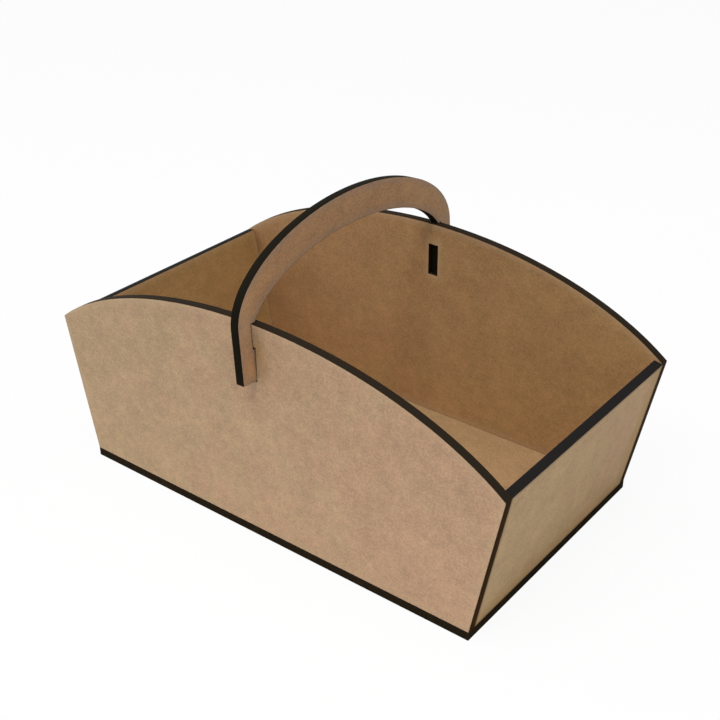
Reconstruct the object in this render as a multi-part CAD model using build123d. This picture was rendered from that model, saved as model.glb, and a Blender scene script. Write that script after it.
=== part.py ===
from build123d import *
import os
from math import asin, atan, cos, degrees, hypot, radians, sin

# A small trug basket cut from flat sheet. The origin is at the middle of its underside,
# +X runs along the tray, +Y to its rear and +Z up. All sizes are in millimetres.

# The fibreboard sheet that all six pieces are cut from
sheet = 4.0

# The tray: a base plate, two upright side panels, and two ends that lean outward
base_length = 206.0
base_width = 125.0
side_height = 65.4
end_flare = 12.5

# The crowned top edge of a side panel is a stretch of an ellipse
crown_rise = 32.4
crown_centre_drop = 40.0

# The tab at each foot of the handle, and the loose slot that it sits in. The slots lie a
# little to the left of the middle, the front one more than the rear one
tab_height = 14.0
tab_tip_inset = 1.5
slot_depth = 10.0
slot_side_play = 0.5
slot_headroom = 0.7
slot_seat_gap = 0.1
front_slot_offset = 1.6
rear_slot_offset = 0.25

# The handle, measured in its own plane. Under its arch, a short ledge on each side reaches
# over the crowned edge, from where the leg goes down outside the panel
handle_rise = 34.4
handle_band = 13.9
leg_width = 6.8
leg_gap = 0.35
foot_rise = 0.6
shoulder_drop = 0.85
crown_gap = 0.3
ledge_reach = 2.2
arch_centre_drop = 7.9

# The loose handle leans to the left by a share of the side play in its slots, and stands
# to the left by a share of what play is left then
lean_share = 0.726
rest_share = 0.6

# Places that several pieces share
side_top = sheet + side_height
crown_top = side_top + crown_rise
inner_width = base_width - 2 * sheet

# The tab leans in its slot, so it needs more room there than it does upright
lean = atan(lean_share * 2 * slot_side_play / tab_height)
leaning_tab_height = tab_height * cos(lean) + sheet * sin(lean)
slot_width = sheet + 2 * slot_side_play
slot_height = slot_seat_gap + leaning_tab_height + slot_headroom
slot_top = crown_top - slot_depth
slot_bottom = slot_top - slot_height
tab_middle = slot_bottom + slot_seat_gap + leaning_tab_height / 2
play_left = slot_width - sheet * cos(lean) - tab_height * sin(lean)


def crown_arc(half_span, centre_height, top_height, end_height):
    """Upper stretch of an ellipse, cut off level at end_height where it is half_span wide."""
    rise = top_height - centre_height
    start = degrees(asin((end_height - centre_height) / rise))
    reach = half_span / cos(radians(start))
    return EllipticalCenterArc((0, centre_height), reach, rise, start, arc_size=180 - 2 * start)


def base_panel():
    """Plain plate that lies under all the walls."""
    return Box(base_length, base_width, sheet, align=(Align.CENTER, Align.CENTER, Align.MIN))


def side_panel(slot_offset):
    """Upright panel with slanted ends, a crowned top and the handle's slot, its front face at y = 0."""
    foot = base_length / 2
    crown = crown_arc(foot + end_flare, side_top - crown_centre_drop, crown_top, side_top)
    rest_of_outline = Polyline(crown @ 1, (-foot, sheet), (foot, sheet), crown @ 0)
    slot = Pos(-slot_offset, (slot_top + slot_bottom) / 2) * Rectangle(slot_width, slot_height)
    outline = make_face([crown, rest_of_outline]) - slot
    return extrude(Plane.XZ * outline, amount=sheet, dir=(0, 1, 0))


def end_panel():
    """Plain panel between the side panels, leaning out with their slanted ends."""
    slope_length = hypot(side_height, end_flare)
    flat = Box(sheet, inner_width, slope_length, align=(Align.MAX, Align.CENTER, Align.MIN))
    tilt = degrees(atan(end_flare / side_height))
    return Pos(base_length / 2, 0, sheet) * Rot(0, tilt, 0) * flat


def handle():
    """Flat arch whose legs hang outside the side panels, with a tab on each leg through its slot."""
    tip = base_width / 2 - sheet + tab_tip_inset
    leg_inside = base_width / 2 + leg_gap
    leg_outside = leg_inside + leg_width
    tab_top = tab_middle + tab_height / 2
    tab_bottom = tab_middle - tab_height / 2
    shoulder = crown_top - shoulder_drop
    ledge = crown_top + crown_gap
    ledge_end = base_width / 2 - ledge_reach
    arch_top = crown_top + handle_rise
    outside = crown_arc(leg_outside, shoulder, arch_top, shoulder)
    inside = crown_arc(ledge_end, ledge - arch_centre_drop, arch_top - handle_band, ledge)
    legs = []
    for side, outer_end, inner_end in ((1, outside @ 0, inside @ 0), (-1, outside @ 1, inside @ 1)):
        legs.append(Polyline(
            outer_end,
            (side * leg_outside, tab_bottom + foot_rise),
            (side * tip, tab_bottom),
            (side * tip, tab_top),
            (side * leg_inside, tab_top),
            (side * leg_inside, ledge),
            inner_end,
        ))
    outline = make_face([outside, inside] + legs)
    upright = extrude(Plane.YZ * outline, amount=sheet / 2, both=True)
    to_the_left = (front_slot_offset + rear_slot_offset + rest_share * play_left) / 2
    seat = Pos(-to_the_left, 0, tab_middle)
    turn = atan((front_slot_offset - rear_slot_offset) / (base_width - sheet))
    return seat * Rot(0, 0, -degrees(turn)) * Rot(0, -degrees(lean), 0) * Pos(0, 0, -tab_middle) * upright


pieces = {
    "base_panel": base_panel(),
    "front_side_panel": Pos(0, -base_width / 2, 0) * side_panel(front_slot_offset),
    "rear_side_panel": Pos(0, base_width / 2 - sheet, 0) * side_panel(rear_slot_offset),
    "left_end_panel": mirror(end_panel(), about=Plane.YZ),
    "right_end_panel": end_panel(),
    "handle": handle(),
}

os.makedirs("parts", exist_ok=True)
for name, piece in pieces.items():
    export_step(piece, os.path.join("parts", name + ".step"))
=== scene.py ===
from math import asin, atan, cos, hypot, pi, radians, sin

import bpy
import numpy as np
from mathutils import Matrix, Vector
from mathutils.geometry import delaunay_2d_cdt


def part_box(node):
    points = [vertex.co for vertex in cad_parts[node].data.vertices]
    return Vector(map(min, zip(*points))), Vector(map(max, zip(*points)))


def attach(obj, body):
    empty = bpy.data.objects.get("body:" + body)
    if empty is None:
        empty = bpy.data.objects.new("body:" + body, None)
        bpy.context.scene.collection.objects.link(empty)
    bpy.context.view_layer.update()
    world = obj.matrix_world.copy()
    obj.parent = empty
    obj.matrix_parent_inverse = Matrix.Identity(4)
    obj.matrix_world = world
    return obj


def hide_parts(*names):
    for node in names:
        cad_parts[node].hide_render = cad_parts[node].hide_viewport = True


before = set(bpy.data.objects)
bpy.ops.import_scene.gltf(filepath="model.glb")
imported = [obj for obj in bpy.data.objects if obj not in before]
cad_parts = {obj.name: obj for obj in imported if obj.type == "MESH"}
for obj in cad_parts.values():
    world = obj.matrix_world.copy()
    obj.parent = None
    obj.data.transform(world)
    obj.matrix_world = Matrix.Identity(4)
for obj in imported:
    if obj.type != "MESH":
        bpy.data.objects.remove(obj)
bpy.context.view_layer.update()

mm = 0.001

# Camera: it stands to the front and the right of the basket, about half a metre away, and
# looks down into the tray. Its place and angles come from the straight edges in the photograph.
camera_data = bpy.data.cameras.new("camera")
camera_data.sensor_width = 36.0
camera_data.lens = 60.335
camera_place = Vector((283.75, -356.93, 317.21)) * mm
camera_azimuth = radians(38.197)
camera_elevation = radians(29.606)
camera_roll = radians(0.4)
camera = bpy.data.objects.new("camera", camera_data)
camera.matrix_world = (
    Matrix.Translation(camera_place)
    @ Matrix.Rotation(camera_azimuth, 4, "Z")
    @ Matrix.Rotation(radians(90) - camera_elevation, 4, "X")
    @ Matrix.Rotation(-camera_roll, 4, "Z")
)
bpy.context.scene.collection.objects.link(camera)
bpy.context.scene.camera = camera
bpy.context.scene.view_settings.view_transform = "Standard"

# Base panel: a plain rectangle of 4 mm fibreboard that all the walls are glued on. A laser cuts
# it and the five other pieces from one sheet, smooth and pale on its face and browner on its
# back. The beam chars every cut edge black and leaves a little smoke on the faces beside it.
base_low, base_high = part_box("base_panel")
sheet = base_high.z - base_low.z
arris = 0.07 * mm           # how far the board's arrises are eased
arris_steps = 3
rim = 1.0 * mm              # from the cuts to the first row of points on a face
face_step = 4.0 * mm        # between the other points on a face
same_point = 1e-7           # points nearer than this count as one
crease = radians(40)        # an edge that turns by more than this is sharp


def inset(loop, distance):
    """A closed line moved by a distance into the board, which lies on its left."""
    moved = []
    for before, here, after in zip(loop[-1:] + loop[:-1], loop, loop[1:] + loop[:1]):
        arriving = (here - before).normalized()
        leaving = (after - here).normalized()
        left = Vector((-arriving.y, arriving.x))
        next_left = Vector((-leaving.y, leaving.x))
        moved.append(here + (left + next_left) * distance / (1 + left.dot(next_left)))
    return moved


def distance_from(lines, points):
    """How far each point of a face lies from the nearest of several closed lines."""
    starts = np.array([corner for line in lines for corner in line])
    ends = np.array([corner for line in lines for corner in line[1:] + line[:1]])
    along = ends - starts
    from_start = np.array(points)[:, None, :] - starts
    share = np.clip((from_start * along).sum(2) / (along ** 2).sum(1), 0, 1)
    return np.linalg.norm(from_start - share[..., None] * along, axis=2).min(1)


def on_board(points, loops):
    """Which points lie on the board, by how often a line from each crosses the cuts."""
    x, y = np.array(points).T[:, :, None]
    starts = np.array([corner for loop in loops for corner in loop])
    ends = np.array([corner for loop in loops for corner in loop[1:] + loop[:1]])
    across = (starts[:, 1] > y) != (ends[:, 1] > y)
    rise = np.where(across, ends[:, 1] - starts[:, 1], 1.0)
    reached = starts[:, 0] + (y - starts[:, 1]) * (ends[:, 0] - starts[:, 0]) / rise
    return (across & (x < reached)).sum(1) % 2 == 1


def laser_cut(name, node, loops, on_sheet, to_basket, materials, dark_band_lines=()):
    """A piece cut from the sheet along closed lines, with eased edges, that takes a CAD node's place.

    The first line is the outline, anticlockwise, and the others are holes, clockwise. Each point
    keeps its place on the sheet, which the fibres follow, and its distance from the cuts and from
    the dark band lines: painted shade beside the handle's legs on the side panels, and a darker band
    toward the foot and one upright edge of the end panels.
    """
    # rings of points run round every cut, from one face over the eased edge to the other
    upper = [(rim, 0.0)]
    for step in range(arris_steps + 1):
        turn = radians(90) * step / arris_steps
        upper.append((arris * (1 - sin(turn)), arris * (1 - cos(turn))))
    profile = [(depth, sheet / 2 - drop) for depth, drop in upper]
    profile += [(depth, -height) for depth, height in reversed(profile)]
    points = [
        Vector((corner.x, corner.y, height))
        for depth, height in profile for loop in loops for corner in inset(loop, depth)
    ]
    ring_size = sum(len(loop) for loop in loops)
    faces = []
    charred = []
    for ring in range(len(profile) - 1):
        start = ring * ring_size
        for loop in loops:
            for here in range(len(loop)):
                there = (here + 1) % len(loop)
                below = start + ring_size
                faces.append((start + here, below + here, below + there, start + there))
                charred.append(0 < ring < len(profile) - 2)
            start += len(loop)

    # inside the rims, an even grid of points is joined into triangles, alike on both faces
    rims = [inset(loop, rim) for loop in loops]
    low_x, low_y = np.array(loops[0]).min(0)
    high_x, high_y = np.array(loops[0]).max(0)
    xs = np.linspace(low_x, high_x, round((high_x - low_x) / face_step))
    ys = np.linspace(low_y, high_y, round((high_y - low_y) / face_step))
    grid = np.stack(np.meshgrid(xs, ys), 2).reshape(-1, 2)
    grid = grid[on_board(grid, loops) & (distance_from(loops, grid) > rim + face_step / 3)]
    flat = [corner for line in rims for corner in line] + [Vector(point) for point in grid]
    rim_edges = []
    for line in rims:
        first = len(rim_edges)
        rim_edges += [(first + here, first + (here + 1) % len(line)) for here in range(len(line))]
    every_triangle = 0
    flat, _, triangles, *_ = delaunay_2d_cdt(flat, rim_edges, [], every_triangle, same_point, False)
    middles = [sum((flat[corner] for corner in triangle), Vector((0, 0))) / 3 for triangle in triangles]
    triangles = [triangle for triangle, kept in zip(triangles, on_board(middles, rims)) if kept]
    inner = flat[ring_size:]
    last_ring = (len(profile) - 1) * ring_size
    upper_inner = len(points) - ring_size
    lower_inner = upper_inner + len(inner)
    points += [Vector((point.x, point.y, sheet / 2)) for point in inner]
    points += [Vector((point.x, point.y, -sheet / 2)) for point in inner]
    for triangle in triangles:
        top = [corner + (0 if corner < ring_size else upper_inner) for corner in triangle]
        bottom = [corner + (last_ring if corner < ring_size else lower_inner) for corner in triangle]
        faces += [top, bottom[::-1]]
        charred += [False, False]

    # the mesh, its two materials, and what the materials read from its points
    mesh = bpy.data.meshes.new(name)
    mesh.from_pydata([to_basket @ point for point in points], [], faces)
    for material in materials:
        mesh.materials.append(material)
    mesh.polygons.foreach_set("material_index", [int(black) for black in charred])
    places = [value for point in points for value in point + Vector(on_sheet).to_3d()]
    mesh.attributes.new("sheet_place", "FLOAT_VECTOR", "POINT").data.foreach_set("vector", places)
    flat_points = [point.xy for point in points]
    # a piece without dark band lines counts as a metre away from them
    for attribute, lines in (("from_cut", loops), ("from_dark_band", dark_band_lines)):
        distances = distance_from(lines, flat_points) if lines else np.ones(len(points))
        mesh.attributes.new(attribute, "FLOAT", "POINT").data.foreach_set("value", distances)
    mesh.shade_smooth()
    mesh.set_sharp_from_angle(angle=crease)
    piece = bpy.data.objects.new(name, mesh)
    bpy.context.scene.collection.objects.link(piece)
    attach(piece, "root")
    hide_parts(node)


class Socket:
    """A shader socket for Python sums: an operator adds a Math node, and node() any other kind."""

    def __init__(self, tree, link=None):
        self.tree = tree
        self.link = link

    def node(self, kind, settings=None, inputs=None, output=0):
        """Adds a node: first its settings are set, then the values or links of its sockets."""
        made = self.tree.nodes.new(kind)
        for name, value in (settings or {}).items():
            setattr(made, name, value)
        for name, value in (inputs or {}).items():
            if isinstance(value, Socket):
                self.tree.links.new(value.link, made.inputs[name])
            else:
                made.inputs[name].default_value = value
        return Socket(self.tree, made.outputs[output] if made.outputs else None)

    def math(self, operation, first, second):
        """One Math node on two values."""
        return self.node("ShaderNodeMath", {"operation": operation}, {0: first, 1: second})

    def __add__(self, other):
        return self.math("ADD", self, other)

    def __radd__(self, other):
        return self.math("ADD", other, self)

    def __sub__(self, other):
        return self.math("SUBTRACT", self, other)

    def __rsub__(self, other):
        return self.math("SUBTRACT", other, self)

    def __mul__(self, other):
        return self.math("MULTIPLY", self, other)

    def __rmul__(self, other):
        return self.math("MULTIPLY", other, self)

    def __truediv__(self, other):
        return self.math("DIVIDE", self, other)

    def __rtruediv__(self, other):
        return self.math("DIVIDE", other, self)


def new_material(name):
    """An empty material, and a handle that adds nodes to it."""
    material = bpy.data.materials.new(name)
    material.use_nodes = True
    material.node_tree.nodes.clear()
    return material, Socket(material.node_tree)


def cloud(place, size, detail=2.0, roughness=0.6):
    """Noise about zero whose patches are about as wide as size."""
    inputs = {"Vector": place, "Scale": 1 / size, "Detail": detail, "Roughness": roughness}
    return place.node("ShaderNodeTexNoise", {}, inputs) - 0.5


def ramp(value, low, high):
    """0 below low, 1 above high and smooth between them. With low above high, the other way round."""
    limits = {"Value": value, "From Min": low, "From Max": high}
    return value.node("ShaderNodeMapRange", {"interpolation_type": "SMOOTHSTEP"}, limits)


def mix(factor, first, second):
    """The first colour where the factor is 0 and the second where it is 1.

    The Mix node takes its two colours at sockets 6 and 7, and gives the mixed one at output 2.
    """
    return factor.node("ShaderNodeMix", {"data_type": "RGBA"}, {0: factor, 6: first, 7: second}, 2)


def scaled(colour, share):
    """A colour made brighter or darker by a share, or a vector made longer or shorter."""
    return colour.node("ShaderNodeVectorMath", {"operation": "SCALE"}, {0: colour, "Scale": share})


def fibres(place, length, width, rarity):
    """Thin strands that lie every way in the board's face, 1 on a strand and 0 beside it.

    Noise stretched along one direction gives the strands of that direction where it is above the
    rarity. Each direction takes them from another part of the noise.
    """
    directions = (0.2, 0.9, 1.5, 2.2, 2.8)
    apart_x = 0.31
    apart_y = 0.17
    softness = 0.12
    bend = 0.5
    bends_in_length = 0.6
    bent = place.node("ShaderNodeTexNoise", {}, {"Vector": place, "Scale": bends_in_length / length}, 1)
    shift = scaled(bent, length * bend)
    curved = shift.node("ShaderNodeVectorMath", {"operation": "ADD"}, {0: place, 1: shift})
    total = 0.0
    for count, direction in enumerate(directions):
        turned = curved.node("ShaderNodeMapping", {"vector_type": "TEXTURE"}, {
            "Location": (apart_x * count, apart_y * count, 0.0),
            "Rotation": (0.0, 0.0, direction),
            "Scale": (length, width, width),
        })
        strand = turned.node("ShaderNodeTexNoise", {}, {"Vector": turned, "Scale": 1.0, "Detail": 1.0})
        total = ramp(strand, rarity, rarity + softness) + total
    return total


def tinted(colour, cast):
    """A colour with each channel multiplied by its share."""
    return tuple(value * share for value, share in zip(colour, cast)) + (1,)


def board_face(name, cast, painted_light_slope, smoked=(0.47, 0.325, 0.190), cut_darkening=0.0, dark_band=0.0):
    """The sheet's two faces: pressed fibres, soft mottling, and smoke stains beside the cuts.

    The cast is what a board's own tone multiplies red, green and blue by. Painted light scales the
    colour by a slope across the basket, a share for each metre in each direction. Smoked is the
    colour that a band along the cuts turns toward. On the smooth face, the cut darkening is how dark
    the board turns within a couple of millimetres of a cut, and the dark band how brown and dark it
    turns near the piece's dark band lines; beside the handle's legs that band is painted shade.
    """
    pale = tinted((0.467, 0.314, 0.174), cast)
    pinkish = tinted((0.482, 0.299, 0.175), cast)
    brown = tinted((0.445, 0.262, 0.108), cast)
    reddish = tinted((0.457, 0.254, 0.110), cast)
    dark_band_brown = tinted((0.31, 0.175, 0.035), cast)
    cut_dark_brown = (0.075, 0.040, 0.016, 1)
    scorched = (0.060, 0.033, 0.015, 1)
    smoke_share = 0.35
    smoke_width = 4.0 * mm
    dark_band_width = 12.0 * mm
    cut_darkening_width = 2.2 * mm
    scorch_width = 0.16 * mm
    redness_span = 0.2
    redness_drift = 400 * mm
    strand_width = 0.40 * mm
    strand_rarity = 0.62
    relief = 0.05 * mm
    material, tree = new_material(name)
    place = tree.node("ShaderNodeAttribute", {"attribute_name": "sheet_place"}, output="Vector")
    from_cut = tree.node("ShaderNodeAttribute", {"attribute_name": "from_cut"}, output="Fac")
    from_dark_band = tree.node("ShaderNodeAttribute", {"attribute_name": "from_dark_band"}, output="Fac")
    along = place.node("ShaderNodeSeparateXYZ", {}, {0: place}, "X")
    depth = place.node("ShaderNodeSeparateXYZ", {}, {0: place}, "Z")
    back = ramp(depth, 0.1 * mm, -0.1 * mm)

    patches = cloud(place, 16 * mm)
    mottle = cloud(place, 4 * mm, 3.0, 0.75)
    specks = cloud(place, 0.9 * mm, 1.0)
    light_fibres = fibres(place, 4.0 * mm, strand_width, strand_rarity)
    dark_fibres = fibres(scaled(place, -1.0), 3.2 * mm, strand_width, strand_rarity)
    tone = 0.25 * patches + 0.38 * mottle + 0.56 * specks + 0.10 * light_fibres - 0.12 * dark_fibres

    # the board is redder in patches, and more so toward one end
    redder = cloud(place, 22 * mm) + 0.5 * cloud(place, 5 * mm) + along / redness_drift
    redness = ramp(redder, -redness_span, redness_span)
    colour = mix(back, mix(redness, pale, pinkish), mix(redness, brown, reddish))
    # painted light: the colour is scaled by a slope across the basket, paler toward its front right foot
    # and darker toward the top, the left and the rear
    where = tree.node("ShaderNodeTexCoord", output="Object")
    painted_light_inputs = {0: where, 1: painted_light_slope}
    painted_light = where.node("ShaderNodeVectorMath", {"operation": "DOT_PRODUCT"}, painted_light_inputs, "Value")
    colour = scaled(colour, 1 + tone + painted_light)

    # smoke, the dark band, the cut darkening and scorch each fade away from a cut or a line, with a
    # wandering border
    smoke = ramp(from_cut + 2.0 * mm * patches, smoke_width, 0.3 * mm)
    colour = mix(smoke_share * smoke, colour, tinted(smoked, cast))
    # painted shade: beside the handle's legs the dark band browns and darkens the smooth face
    dark_banding = ramp(from_dark_band + 3.0 * mm * patches, dark_band_width, 2.5 * mm)
    colour = mix(dark_band * dark_banding * (1 - back), colour, dark_band_brown)
    cut_darkening_mask = ramp(from_cut + 0.5 * mm * patches, cut_darkening_width, 0.0)
    colour = mix(cut_darkening * cut_darkening_mask * (1 - back), colour, cut_dark_brown)
    scorch = ramp(from_cut + 0.15 * mm * specks, scorch_width, 0.04 * mm)
    colour = mix(scorch, colour, scorched)

    height = 0.5 * specks + 0.35 * light_fibres - 0.35 * dark_fibres + 0.3 * mottle
    bump = height.node("ShaderNodeBump", {}, {"Height": height, "Strength": 0.35, "Distance": relief})
    roughness = 0.62 + 0.3 * mottle
    bsdf = tree.node("ShaderNodeBsdfPrincipled", {}, {
        "Base Color": colour, "Roughness": roughness, "Specular IOR Level": 0.2, "Normal": bump,
    })
    tree.node("ShaderNodeOutputMaterial", {}, {"Surface": bsdf})
    return material


def charred_edge(name, char, sheen_from_above):
    """What the beam leaves on a cut edge: char with fine upright marks, browner where it is thin.

    Where the edge faces up, its colour is mixed toward a paler grey, a painted sheen of the light from
    above.
    """
    thin_char = tinted(char, (1.9, 1.6, 1.2))
    mark_width = 0.45 * mm
    mark_height = 6 * mm
    relief = 0.08 * mm
    material, tree = new_material(name)
    place = tree.node("ShaderNodeAttribute", {"attribute_name": "sheet_place"}, output="Vector")
    stretched = place.node("ShaderNodeMapping", {"vector_type": "TEXTURE"}, {
        "Scale": (mark_width, mark_width, mark_height),
    })
    marks = cloud(stretched, 1.0, roughness=0.5)
    crust = cloud(place, 0.6 * mm, 2.0)
    thin = ramp(cloud(place, 9 * mm) + 0.5 * marks, 0.05, 0.3)
    colour = mix(thin, char + (1,), thin_char)
    # painted sheen: upward-facing char turns a paler grey, as light from above glints on it
    normal = tree.node("ShaderNodeNewGeometry", output="Normal")
    sheen_facing_up = ramp(normal.node("ShaderNodeSeparateXYZ", {}, {0: normal}, "Z"), 0.35, 0.85)
    colour = mix(sheen_facing_up, colour, sheen_from_above + (1,))
    colour = scaled(colour, 1 + 0.5 * marks + 0.3 * crust)
    height = marks + 0.4 * crust
    bump = height.node("ShaderNodeBump", {}, {"Height": height, "Strength": 0.5, "Distance": relief})
    bsdf = tree.node("ShaderNodeBsdfPrincipled", {}, {
        "Base Color": colour, "Roughness": 0.6 + 0.3 * crust,
        "Specular IOR Level": 0.01, "Normal": bump,
    })
    tree.node("ShaderNodeOutputMaterial", {}, {"Surface": bsdf})
    return material


base_length = base_high.x - base_low.x
base_width = base_high.y - base_low.y


def rectangle(width, height, bottom=0.0, middle=0.0):
    """Corners of a rectangle that stands centred on a middle line, anticlockwise."""
    left, right, top = middle - width / 2, middle + width / 2, bottom + height
    return [Vector(corner) for corner in ((left, bottom), (right, bottom), (right, top), (left, top))]


laser_cut(
    "base_board", "base_panel",
    [rectangle(base_length, base_width, -base_width / 2)],
    on_sheet=(0.0, 0.0),
    to_basket=Matrix.Translation((0, 0, sheet / 2)) @ Matrix.Rotation(radians(180), 4, "X"),
    materials=(
        board_face("base_face", cast=(0.90, 1.0, 1.15), painted_light_slope=(0, 0, 0)),
        charred_edge("base_edge", char=(0.0164, 0.0115, 0.0059), sheen_from_above=(0.0172, 0.0129, 0.0077)),
    ),
)

# Side panels: two upright boards with slanted ends and a crowned top edge, cut alike and
# glued on the base's long edges. A slot under each crown, a little to the left of its middle,
# takes a tab of the handle, loosely.
_, side_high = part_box("front_side_panel")
side_height = 65.4 * mm
crown_centre_drop = 40.0 * mm
slot_depth = 10.0 * mm
slot_width = 5.0 * mm
slot_height = 14.99 * mm
slot_offsets = {"front": 1.6 * mm, "rear": 0.25 * mm}
places_on_sheet = {"front": (0.0, 0.2), "rear": (0.0, -0.3)}
leg_shade_stretch = (0.5, 0.8)
arc_steps = 96
side_top = sheet + side_height


def crown_arc(half_span, centre, top, end):
    """Upper stretch of an ellipse from its right end over to its left, half_span wide at height end."""
    rise = top - centre
    start = asin((end - centre) / rise)
    reach = half_span / cos(start)
    turns = [start + (pi - 2 * start) * step / arc_steps for step in range(arc_steps + 1)]
    return [Vector((reach * cos(turn), centre + rise * sin(turn))) for turn in turns]


crown = crown_arc(side_high.x, side_top - crown_centre_drop, side_high.z, side_top)
side_foot = [Vector((-base_length / 2, sheet)), Vector((base_length / 2, sheet))]
slot_bottom = side_high.z - slot_depth - slot_height
upright = Matrix.Rotation(radians(90), 4, "X")
# The side face's dark band is painted shade of the handle's legs beside the slots, and its slope across
# the basket is painted light.
side_finishes = (
    board_face("side_face", cast=(1.04, 1.06, 1.108), painted_light_slope=(0.3, 0, -1.1), dark_band=0.5),
    charred_edge("side_edge", char=(0.0287, 0.0128, 0.0024), sheen_from_above=(0.0235, 0.0171, 0.0113)),
)
for side, turn, across in (("front", 0, -1), ("rear", radians(180), 1)):
    slot_middle = across * slot_offsets[side]
    slot = rectangle(slot_width, slot_height, slot_bottom, slot_middle)
    # painted shade of the leg: a line up the slot's middle, from half to four fifths of its height, that
    # the band starts at
    leg_shade_line = [Vector((slot_middle, slot_bottom + slot_height * share)) for share in leg_shade_stretch]
    laser_cut(
        side + "_side_board", side + "_side_panel",
        [crown + side_foot, slot[::-1]],
        on_sheet=places_on_sheet[side],
        to_basket=(
            Matrix.Rotation(turn, 4, "Z")
            @ Matrix.Translation((0, (sheet - base_width) / 2, 0))
            @ upright
        ),
        materials=side_finishes,
        dark_band_lines=[leg_shade_line],
    )

# End panels: two plain boards between the side panels, glued along the sides' slanted ends.
# They are cut square, so each stands on its outer bottom edge as it leans outward.
end_low, end_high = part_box("right_end_panel")
end_flare = side_high.x - base_length / 2
end_lean = atan(end_flare / side_height)
end_outline = rectangle(end_high.y - end_low.y, hypot(side_height, end_flare))
facing_right = Matrix.Rotation(radians(90), 4, "Z") @ upright
places_on_sheet = {"right": (-0.05, 0.6), "left": (-0.05, -0.6)}
# The end face is darker within about 2 mm of each cut, and darker and browner toward its foot and one
# upright edge, the rear one on the right end; its slope across the basket is painted light.
end_finishes = (
    board_face("end_face", cast=(1.04, 1.05, 0.993), painted_light_slope=(0, -0.34, -0.8), cut_darkening=0.5, dark_band=0.38),
    charred_edge("end_edge", char=(0.0203, 0.0121, 0.0046), sheen_from_above=(0.0163, 0.0144, 0.0141)),
)
for side, turn in (("right", 0), ("left", radians(180))):
    laser_cut(
        side + "_end_board", side + "_end_panel",
        [end_outline],
        on_sheet=places_on_sheet[side],
        to_basket=(
            Matrix.Rotation(turn, 4, "Z")
            @ Matrix.Translation((base_length / 2, 0, sheet))
            @ Matrix.Rotation(end_lean, 4, "Y")
            @ Matrix.Translation((-sheet / 2, 0, 0))
            @ facing_right
        ),
        materials=end_finishes,
        dark_band_lines=[end_outline[:2], end_outline[1:3]],
    )

# Handle: one flat arch. A short ledge under each end of it reaches over the crowned edge, its
# legs hang outside the side panels, and a tab on each goes inward through the slot. The slots
# are wider than the sheet, so it leans to the left by a share of that play.
tab_height = 14.0 * mm
tab_tip_inset = 1.5 * mm
slot_seat_gap = 0.1 * mm
handle_rise = 34.4 * mm
handle_band = 13.9 * mm
leg_width = 6.8 * mm
leg_gap = 0.35 * mm
foot_rise = 0.6 * mm
shoulder_drop = 0.85 * mm
crown_gap = 0.12 * mm
ledge_reach = 2.2 * mm
arch_centre_drop = 7.72 * mm
lean_share = 0.726
rest_share = 0.6
handle_lean = atan(lean_share * (slot_width - sheet) / tab_height)
handle_turn = atan((slot_offsets["front"] - slot_offsets["rear"]) / (base_width - sheet))
play_left = slot_width - sheet * cos(handle_lean) - tab_height * sin(handle_lean)
to_the_left = (slot_offsets["front"] + slot_offsets["rear"] + rest_share * play_left) / 2
leaning_tab_height = tab_height * cos(handle_lean) + sheet * sin(handle_lean)
tab_middle = slot_bottom + slot_seat_gap + leaning_tab_height / 2
tab_tip = base_width / 2 - sheet + tab_tip_inset
tab_top = tab_middle + tab_height / 2
tab_bottom = tab_middle - tab_height / 2
leg_inside = base_width / 2 + leg_gap
leg_outside = leg_inside + leg_width
shoulder = side_high.z - shoulder_drop
ledge = side_high.z + crown_gap
arch_top = side_high.z + handle_rise
outside = crown_arc(leg_outside, shoulder, arch_top, shoulder)
inside = crown_arc(base_width / 2 - ledge_reach, ledge - arch_centre_drop, arch_top - handle_band, ledge)
right_leg = [
    Vector((leg_inside, ledge)),
    Vector((leg_inside, tab_top)),
    Vector((tab_tip, tab_top)),
    Vector((tab_tip, tab_bottom)),
    Vector((leg_outside, tab_bottom + foot_rise)),
]
left_leg = [Vector((-corner.x, corner.y)) for corner in reversed(right_leg)]
laser_cut(
    "handle_board", "handle",
    [outside + left_leg + inside[::-1] + right_leg],
    on_sheet=(0.1, 0.45),
    to_basket=(
        Matrix.Translation((-to_the_left, 0, tab_middle))
        @ Matrix.Rotation(-handle_turn, 4, "Z")
        @ Matrix.Rotation(-handle_lean, 4, "Y")
        @ Matrix.Translation((0, 0, -tab_middle))
        @ Matrix.Rotation(radians(-90), 4, "Z")
        @ upright
    ),
    materials=(
        # painted light: the handle's face turns paler toward the front and toward its feet
        board_face(
            "handle_face", cast=(1.10, 1.12, 1.27), painted_light_slope=(0, -0.8, -1.1),
            smoked=(0.231, 0.182, 0.138),
        ),
        charred_edge("handle_edge", char=(0.0093, 0.0073, 0.0044), sheen_from_above=(0.0110, 0.0092, 0.0062)),
    ),
)

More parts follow.
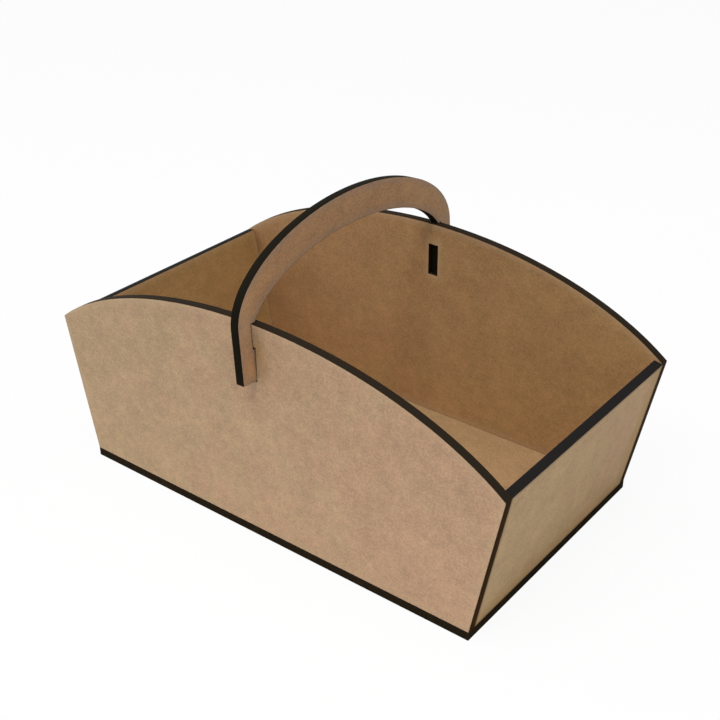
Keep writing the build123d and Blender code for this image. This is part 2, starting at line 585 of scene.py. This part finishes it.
# Floor: a wide white studio floor under the base. The camera sees it as white paper, with a
# share of its real shading left in, so that the basket's soft shadow still falls on it.
floor_half = 4.0
floor_white = (0.88, 0.88, 0.88, 1)
floor_shading_share = 0.07
floor_mesh = bpy.data.meshes.new("floor")
floor_corners = [(x * floor_half, y * floor_half, 0) for x, y in ((-1, -1), (1, -1), (1, 1), (-1, 1))]
floor_mesh.from_pydata(floor_corners, [], [(0, 1, 2, 3)])
floor = bpy.data.objects.new("floor", floor_mesh)
bpy.context.scene.collection.objects.link(floor)
floor_material, tree = new_material("white_floor")
rays = tree.node("ShaderNodeLightPath", output="Is Camera Ray")
paper = tree.node("ShaderNodeBsdfDiffuse", {}, {"Color": floor_white})
glow = tree.node("ShaderNodeEmission", {}, {"Color": (1, 1, 1, 1), "Strength": 1.0})
shown = tree.node("ShaderNodeMixShader", {}, {0: (1 - floor_shading_share) * rays, 1: paper, 2: glow})
tree.node("ShaderNodeOutputMaterial", {}, {"Surface": shown})
floor_mesh.materials.append(floor_material)

# Backdrop: the world is white to the camera and in reflections, and lights the basket evenly
# at a plain level.
world_level = 0.08
world = bpy.data.worlds.new("backdrop")
bpy.context.scene.world = world
world.use_nodes = True
world.node_tree.nodes.clear()
tree = Socket(world.node_tree)
rays = tree.node("ShaderNodeLightPath", output="Is Camera Ray")
glossy = tree.node("ShaderNodeLightPath", output="Is Glossy Ray")
through = tree.node("ShaderNodeLightPath", output="Is Transmission Ray")
seen = rays + glossy + through
even = tree.node("ShaderNodeBackground", {}, {"Color": (1, 1, 1, 1), "Strength": world_level})
white = tree.node("ShaderNodeBackground", {}, {"Color": (1, 1, 1, 1), "Strength": 1.0})
shown = tree.node("ShaderNodeMixShader", {}, {0: seen, 1: even, 2: white})
tree.node("ShaderNodeOutputWorld", {}, {"Surface": shown})

# Lamps: large soft boxes on both sides light the basket almost evenly, one above fills the
# tray, and a small one in front throws the handle's faint narrow shadow on the rear panel.
aim = Vector((0, 0, 60 * mm))


def soft_box(name, azimuth, elevation, distance, size, power):
    """A square lamp that faces the basket. Azimuth 0 is in front, and more is to the right."""
    data = bpy.data.lights.new(name, "AREA")
    data.size = size
    data.energy = power
    lamp = bpy.data.objects.new(name, data)
    towards = Vector((
        sin(radians(azimuth)) * cos(radians(elevation)),
        -cos(radians(azimuth)) * cos(radians(elevation)),
        sin(radians(elevation)),
    ))
    facing = towards.to_track_quat("Z", "Y").to_matrix().to_4x4()
    lamp.matrix_world = Matrix.Translation(aim + towards * distance) @ facing
    bpy.context.scene.collection.objects.link(lamp)


soft_box("key_box", azimuth=8, elevation=58, distance=1.5, size=0.3, power=6.7)
soft_box("left_box", azimuth=-50, elevation=35, distance=2.4, size=2.88, power=40.0)
soft_box("right_box", azimuth=90, elevation=35, distance=1.5, size=1.8, power=9.3)
soft_box("top_box", azimuth=0, elevation=88, distance=1.5, size=1.0, power=8.0)
